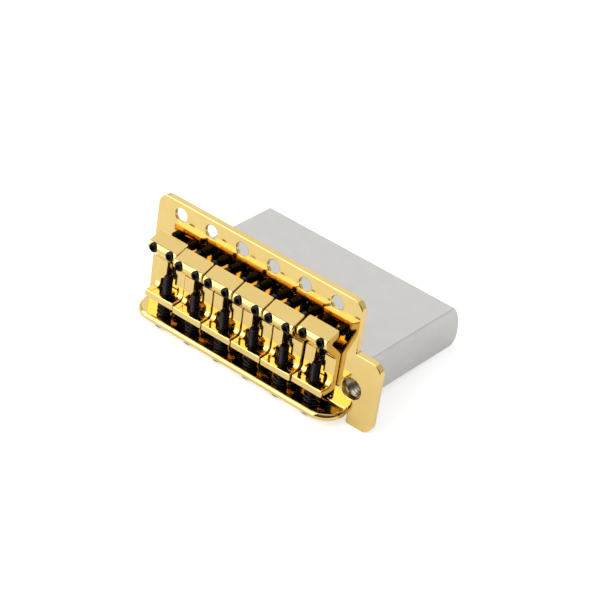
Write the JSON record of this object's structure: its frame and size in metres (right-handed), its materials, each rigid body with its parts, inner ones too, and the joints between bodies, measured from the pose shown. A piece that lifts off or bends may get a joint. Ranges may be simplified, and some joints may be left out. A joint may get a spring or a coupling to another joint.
{
  "type": "guitar tremolo bridge",
  "caption": "Tremolo bridge for an electric guitar: a bent plate with a row of pivot holes, spring-loaded screw-set saddles in front and a heavy block behind.",
  "frame": {"origin": "middle of the row of pivot holes, on the face of the plate that carries the saddles", "axes": "+X along the row of saddles towards the arm side, +Y from the saddles through the plate into the block, +Z from the rear flange towards the pivot holes, the way the strings run"},
  "size_m": [0.082, 0.0592, 0.0387],
  "materials": {
    "gold_plate": "polished gold plating on pressed steel",
    "satin_block": "fine satin",
    "black_steel": "black plating, half gloss",
    "bush_steel": "plain turned"
  },
  "bodies": {
    "bridge": {"base_plate": "gold_plate", "inertia_block": "satin_block", "arm_bush": "bush_steel", "block_screws": "black_steel"},
    "intonation_spring_1": {"intonation_spring_1": "black_steel"},
    "intonation_screw_1": {"intonation_screw_1": "black_steel"},
    "saddle_1": {"saddle_1": "gold_plate"},
    "height_screw_1_bass": {"height_screw_1_bass": "black_steel"},
    "height_screw_1_treble": {"height_screw_1_treble": "black_steel"},
    "intonation_spring_2": {"intonation_spring_2": "black_steel"},
    "intonation_screw_2": {"intonation_screw_2": "black_steel"},
    "saddle_2": {"saddle_2": "gold_plate"},
    "height_screw_2_bass": {"height_screw_2_bass": "black_steel"},
    "height_screw_2_treble": {"height_screw_2_treble": "black_steel"},
    "intonation_spring_3": {"intonation_spring_3": "black_steel"},
    "intonation_screw_3": {"intonation_screw_3": "black_steel"},
    "saddle_3": {"saddle_3": "gold_plate"},
    "height_screw_3_bass": {"height_screw_3_bass": "black_steel"},
    "height_screw_3_treble": {"height_screw_3_treble": "black_steel"},
    "intonation_spring_4": {"intonation_spring_4": "black_steel"},
    "intonation_screw_4": {"intonation_screw_4": "black_steel"},
    "saddle_4": {"saddle_4": "gold_plate"},
    "height_screw_4_bass": {"height_screw_4_bass": "black_steel"},
    "height_screw_4_treble": {"height_screw_4_treble": "black_steel"},
    "intonation_spring_5": {"intonation_spring_5": "black_steel"},
    "intonation_screw_5": {"intonation_screw_5": "black_steel"},
    "saddle_5": {"saddle_5": "gold_plate"},
    "height_screw_5_bass": {"height_screw_5_bass": "black_steel"},
    "height_screw_5_treble": {"height_screw_5_treble": "black_steel"},
    "intonation_spring_6": {"intonation_spring_6": "black_steel"},
    "intonation_screw_6": {"intonation_screw_6": "black_steel"},
    "saddle_6": {"saddle_6": "gold_plate"},
    "height_screw_6_bass": {"height_screw_6_bass": "black_steel"},
    "height_screw_6_treble": {"height_screw_6_treble": "black_steel"}
  },
  "joints": [
    {"name": "height_tilt_1", "type": "hinge", "parent": "bridge", "child": "intonation_spring_1", "pos_m": [-0.027, -0.0034, -0.0319], "axis": [1, 0, 0], "range_deg": [-0.72, 2.52]},
    {"name": "intonation_spin_1", "type": "hinge", "parent": "intonation_spring_1", "child": "intonation_screw_1", "pos_m": [-0.027, -0.0034, -0.0319], "axis": [0, 0, 1], "range_deg": [-2161, 1585]},
    {"name": "intonation_slide_1", "type": "slide", "parent": "intonation_spring_1", "child": "saddle_1", "axis": [0, 0, 1], "range_m": [-0.0022, 0.003], "deforming": ["intonation_spring_1"]},
    {"name": "height_slide_1_bass", "type": "slide", "parent": "saddle_1", "child": "height_screw_1_bass", "axis": [0, 1, 0], "range_m": [-0.00029, 0.00102]},
    {"name": "height_slide_1_treble", "type": "slide", "parent": "saddle_1", "child": "height_screw_1_treble", "axis": [0, 1, 0], "range_m": [-0.00031, 0.00104]},
    {"name": "height_tilt_2", "type": "hinge", "parent": "bridge", "child": "intonation_spring_2", "pos_m": [-0.0162, -0.0034, -0.0319], "axis": [1, 0, 0], "range_deg": [-4.02, 2.52]},
    {"name": "intonation_spin_2", "type": "hinge", "parent": "intonation_spring_2", "child": "intonation_screw_2", "pos_m": [-0.0162, -0.0034, -0.0319], "axis": [0, -0.0576, 0.9983], "range_deg": [-2161, 1585]},
    {"name": "intonation_slide_2", "type": "slide", "parent": "intonation_spring_2", "child": "saddle_2", "axis": [0, -0.0576, 0.9983], "range_m": [-0.0022, 0.003], "deforming": ["intonation_spring_2"]},
    {"name": "height_slide_2_bass", "type": "slide", "parent": "saddle_2", "child": "height_screw_2_bass", "axis": [0, 0.9983, 0.0576], "range_m": [-0.00165, 0.00103]},
    {"name": "height_slide_2_treble", "type": "slide", "parent": "saddle_2", "child": "height_screw_2_treble", "axis": [0, 0.9983, 0.0576], "range_m": [-0.00167, 0.00105]},
    {"name": "height_tilt_3", "type": "hinge", "parent": "bridge", "child": "intonation_spring_3", "pos_m": [-0.0054, -0.0034, -0.0319], "axis": [1, 0, 0], "range_deg": [-4.02, 2.52]},
    {"name": "intonation_spin_3", "type": "hinge", "parent": "intonation_spring_3", "child": "intonation_screw_3", "pos_m": [-0.0054, -0.0034, -0.0319], "axis": [0, -0.0576, 0.9983], "range_deg": [-2161, 1585]},
    {"name": "intonation_slide_3", "type": "slide", "parent": "intonation_spring_3", "child": "saddle_3", "axis": [0, -0.0576, 0.9983], "range_m": [-0.0022, 0.003], "deforming": ["intonation_spring_3"]},
    {"name": "height_slide_3_bass", "type": "slide", "parent": "saddle_3", "child": "height_screw_3_bass", "axis": [0, 0.9983, 0.0576], "range_m": [-0.00165, 0.00103]},
    {"name": "height_slide_3_treble", "type": "slide", "parent": "saddle_3", "child": "height_screw_3_treble", "axis": [0, 0.9983, 0.0576], "range_m": [-0.00167, 0.00105]},
    {"name": "height_tilt_4", "type": "hinge", "parent": "bridge", "child": "intonation_spring_4", "pos_m": [0.0054, -0.0034, -0.0319], "axis": [1, 0, 0], "range_deg": [-4.02, 2.52]},
    {"name": "intonation_spin_4", "type": "hinge", "parent": "intonation_spring_4", "child": "intonation_screw_4", "pos_m": [0.0054, -0.0034, -0.0319], "axis": [0, -0.0576, 0.9983], "range_deg": [-2161, 1585]},
    {"name": "intonation_slide_4", "type": "slide", "parent": "intonation_spring_4", "child": "saddle_4", "axis": [0, -0.0576, 0.9983], "range_m": [-0.0022, 0.003], "deforming": ["intonation_spring_4"]},
    {"name": "height_slide_4_bass", "type": "slide", "parent": "saddle_4", "child": "height_screw_4_bass", "axis": [0, 0.9983, 0.0576], "range_m": [-0.00165, 0.00103]},
    {"name": "height_slide_4_treble", "type": "slide", "parent": "saddle_4", "child": "height_screw_4_treble", "axis": [0, 0.9983, 0.0576], "range_m": [-0.00167, 0.00105]},
    {"name": "height_tilt_5", "type": "hinge", "parent": "bridge", "child": "intonation_spring_5", "pos_m": [0.0162, -0.0034, -0.0319], "axis": [1, 0, 0], "range_deg": [-4.02, 2.52]},
    {"name": "intonation_spin_5", "type": "hinge", "parent": "intonation_spring_5", "child": "intonation_screw_5", "pos_m": [0.0162, -0.0034, -0.0319], "axis": [0, -0.0576, 0.9983], "range_deg": [-2161, 1585]},
    {"name": "intonation_slide_5", "type": "slide", "parent": "intonation_spring_5", "child": "saddle_5", "axis": [0, -0.0576, 0.9983], "range_m": [-0.0022, 0.003], "deforming": ["intonation_spring_5"]},
    {"name": "height_slide_5_bass", "type": "slide", "parent": "saddle_5", "child": "height_screw_5_bass", "axis": [0, 0.9983, 0.0576], "range_m": [-0.00165, 0.00103]},
    {"name": "height_slide_5_treble", "type": "slide", "parent": "saddle_5", "child": "height_screw_5_treble", "axis": [0, 0.9983, 0.0576], "range_m": [-0.00167, 0.00105]},
    {"name": "height_tilt_6", "type": "hinge", "parent": "bridge", "child": "intonation_spring_6", "pos_m": [0.027, -0.0034, -0.0319], "axis": [1, 0, 0], "range_deg": [-0.72, 2.52]},
    {"name": "intonation_spin_6", "type": "hinge", "parent": "intonation_spring_6", "child": "intonation_screw_6", "pos_m": [0.027, -0.0034, -0.0319], "axis": [0, 0, 1], "range_deg": [-2161, 1585]},
    {"name": "intonation_slide_6", "type": "slide", "parent": "intonation_spring_6", "child": "saddle_6", "axis": [0, 0, 1], "range_m": [-0.0022, 0.003], "deforming": ["intonation_spring_6"]},
    {"name": "height_slide_6_bass", "type": "slide", "parent": "saddle_6", "child": "height_screw_6_bass", "axis": [0, 1, 0], "range_m": [-0.00029, 0.00102]},
    {"name": "height_slide_6_treble", "type": "slide", "parent": "saddle_6", "child": "height_screw_6_treble", "axis": [0, 1, 0], "range_m": [-0.00031, 0.00104]}
  ],
  "couplings": [
    {"joint": "intonation_spin_1", "follows": "intonation_slide_1", "rad_per_m": -12566},
    {"joint": "height_tilt_1", "follows": "height_slide_1_bass", "rad_per_m": 42.735},
    {"joint": "height_slide_1_treble", "follows": "height_slide_1_bass", "ratio": 1},
    {"joint": "intonation_spin_2", "follows": "intonation_slide_2", "rad_per_m": -12566},
    {"joint": "height_tilt_2", "follows": "height_slide_2_bass", "rad_per_m": 42.271},
    {"joint": "height_slide_2_treble", "follows": "height_slide_2_bass", "ratio": 1},
    {"joint": "intonation_spin_3", "follows": "intonation_slide_3", "rad_per_m": -12566},
    {"joint": "height_tilt_3", "follows": "height_slide_3_bass", "rad_per_m": 42.271},
    {"joint": "height_slide_3_treble", "follows": "height_slide_3_bass", "ratio": 1},
    {"joint": "intonation_spin_4", "follows": "intonation_slide_4", "rad_per_m": -12566},
    {"joint": "height_tilt_4", "follows": "height_slide_4_bass", "rad_per_m": 42.271},
    {"joint": "height_slide_4_treble", "follows": "height_slide_4_bass", "ratio": 1},
    {"joint": "intonation_spin_5", "follows": "intonation_slide_5", "rad_per_m": -12566},
    {"joint": "height_tilt_5", "follows": "height_slide_5_bass", "rad_per_m": 42.271},
    {"joint": "height_slide_5_treble", "follows": "height_slide_5_bass", "ratio": 1},
    {"joint": "intonation_spin_6", "follows": "intonation_slide_6", "rad_per_m": -12566},
    {"joint": "height_tilt_6", "follows": "height_slide_6_bass", "rad_per_m": 42.735},
    {"joint": "height_slide_6_treble", "follows": "height_slide_6_bass", "ratio": 1}
  ]
}
